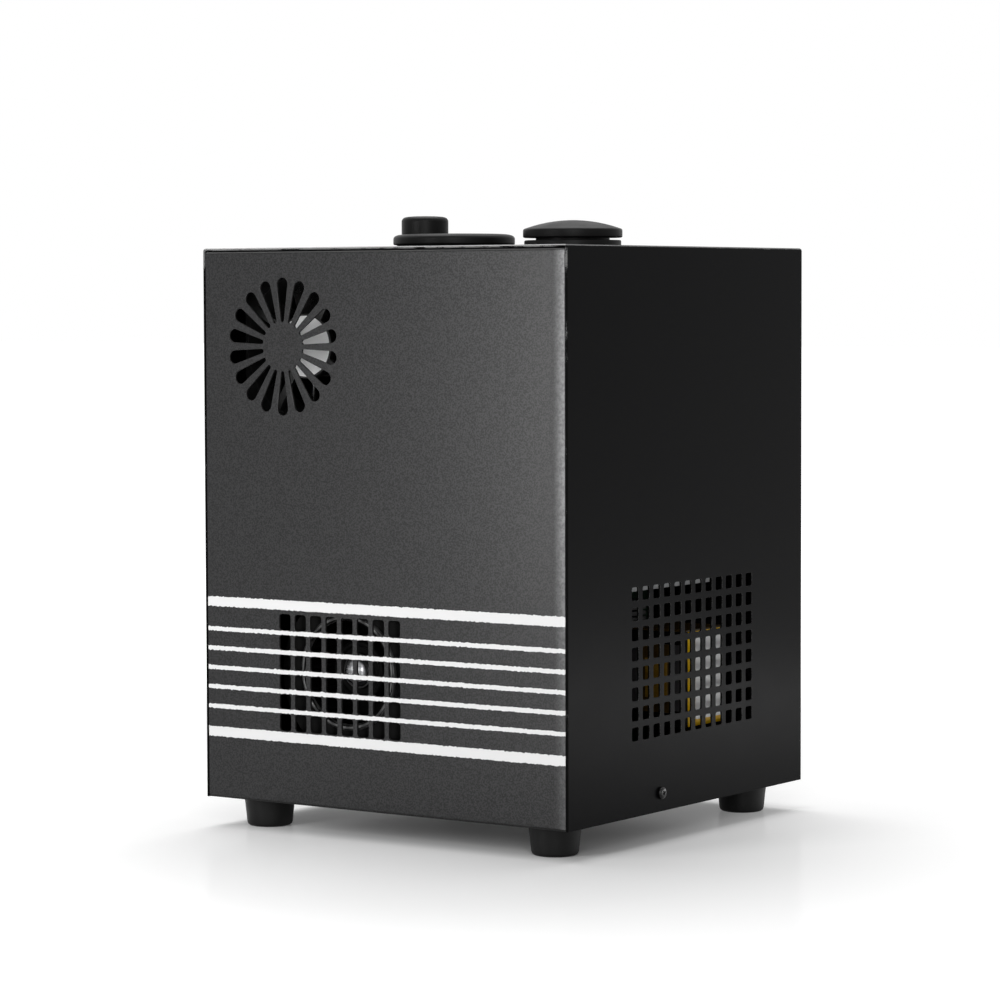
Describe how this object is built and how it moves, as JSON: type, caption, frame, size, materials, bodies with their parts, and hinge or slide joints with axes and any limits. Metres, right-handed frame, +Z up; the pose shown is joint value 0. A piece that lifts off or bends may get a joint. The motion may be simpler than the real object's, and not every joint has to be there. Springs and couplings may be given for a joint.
{
  "type": "cold spark machine",
  "caption": "Sheet metal cabinet on rubber feet that feeds metal granules from a lidded hopper into an induction heated chamber and blows sparks up through a capped nozzle.",
  "frame": {"origin": "on the floor under the middle of the cabinet", "axes": "+Z up, -Y towards the front panel with the two grilles, +X to the side wall with the grille"},
  "size_m": [0.2342, 0.23, 0.324],
  "materials": {
    "grey_paint": "dark grey powder coat with a fine texture, white printed stripes",
    "black_paint": "smooth satin black powder coat",
    "black_plastic": "satin black",
    "rubber": "matte black",
    "black_steel": "blackened screw steel",
    "zinc_steel": "zinc plated",
    "stainless": "turned stainless",
    "aluminium": "machined",
    "copper": "bare copper tube",
    "ceramic": "white ceramic fibre",
    "green_board": "green lacquer",
    "yellow_tape": "yellow tape round a ferrite core",
    "brown_film": "glossy brown",
    "dark_glass": "dark display glass"
  },
  "bodies": {
    "cabinet": {"chassis": "grey_paint", "rear_panel": "grey_paint", "cover": "black_paint", "hopper_neck": "black_plastic", "nozzle_flange": "black_plastic", "blower_scroll": "black_plastic", "blower_inlet_plate": "black_plastic", "air_duct": "black_plastic", "fan_frame": "black_plastic", "bulk_capacitor_1": "black_plastic", "bulk_capacitor_2": "black_plastic", "switch_frame": "black_plastic", "power_inlet": "black_plastic", "dmx_input": "black_plastic", "dmx_output": "black_plastic", "foot_front_left": "rubber", "foot_front_right": "rubber", "foot_rear_left": "rubber", "foot_rear_right": "rubber", "cover_screw_right": "black_steel", "cover_screw_left": "black_steel", "rear_screw_left": "black_steel", "rear_screw_right": "black_steel", "foot_screw_front_left": "zinc_steel", "foot_screw_front_right": "zinc_steel", "foot_screw_rear_left": "zinc_steel", "foot_screw_rear_right": "zinc_steel", "feed_motor": "zinc_steel", "feed_stand": "zinc_steel", "inner_frame": "zinc_steel", "blower_motor": "zinc_steel", "blower_bracket": "zinc_steel", "board_bracket": "zinc_steel", "hopper_tank": "stainless", "heating_chamber": "stainless", "nozzle_tube": "stainless", "feed_housing": "aluminium", "heat_sink": "aluminium", "induction_coil": "copper", "chamber_sleeve": "ceramic", "power_board": "green_board", "display_board": "green_board", "transformer": "yellow_tape", "film_capacitor": "brown_film", "display_window": "dark_glass"},
    "lid": {"hopper_lid": "black_plastic", "lid_knob": "black_plastic"},
    "cap": {"nozzle_cap": "black_plastic"},
    "fan": {"fan_rotor": "black_plastic"},
    "impeller": {"blower_impeller": "black_plastic", "blower_nut": "stainless"},
    "feed": {"feed_screw": "stainless", "feed_coupling": "zinc_steel"},
    "button_1": {"menu_button_1": "black_plastic"},
    "button_2": {"menu_button_2": "black_plastic"},
    "button_3": {"menu_button_3": "black_plastic"},
    "button_4": {"menu_button_4": "black_plastic"},
    "rocker": {"switch_rocker": "black_plastic"}
  },
  "joints": [
    {"name": "lid_lift", "type": "slide", "parent": "cabinet", "child": "lid", "axis": [0, 0, 1], "range_m": [0, 0.03]},
    {"name": "cap_lift", "type": "slide", "parent": "cabinet", "child": "cap", "axis": [0, 0, 1], "range_m": [0, 0.03]},
    {"name": "fan_spin", "type": "hinge", "parent": "cabinet", "child": "fan", "pos_m": [-0.0625, 0, 0.2548], "axis": [0, 1, 0], "continuous": true},
    {"name": "impeller_spin", "type": "hinge", "parent": "cabinet", "child": "impeller", "pos_m": [-0.0258, 0, 0.0866], "axis": [0, 1, 0], "continuous": true},
    {"name": "feed_spin", "type": "hinge", "parent": "cabinet", "child": "feed", "pos_m": [0, 0, 0.203], "axis": [1, 0, 0], "continuous": true},
    {"name": "button_1_press", "type": "slide", "parent": "cabinet", "child": "button_1", "axis": [0, -1, 0], "range_m": [0, 0.001], "stiffness_N_per_m": 300},
    {"name": "button_2_press", "type": "slide", "parent": "cabinet", "child": "button_2", "axis": [0, -1, 0], "range_m": [0, 0.001], "stiffness_N_per_m": 300},
    {"name": "button_3_press", "type": "slide", "parent": "cabinet", "child": "button_3", "axis": [0, -1, 0], "range_m": [0, 0.001], "stiffness_N_per_m": 300},
    {"name": "button_4_press", "type": "slide", "parent": "cabinet", "child": "button_4", "axis": [0, -1, 0], "range_m": [0, 0.001], "stiffness_N_per_m": 300},
    {"name": "rocker_tilt", "type": "hinge", "parent": "cabinet", "child": "rocker", "pos_m": [-0.078, 0.1096, 0.114], "axis": [1, 0, 0], "range_deg": [-16, 0]}
  ]
}
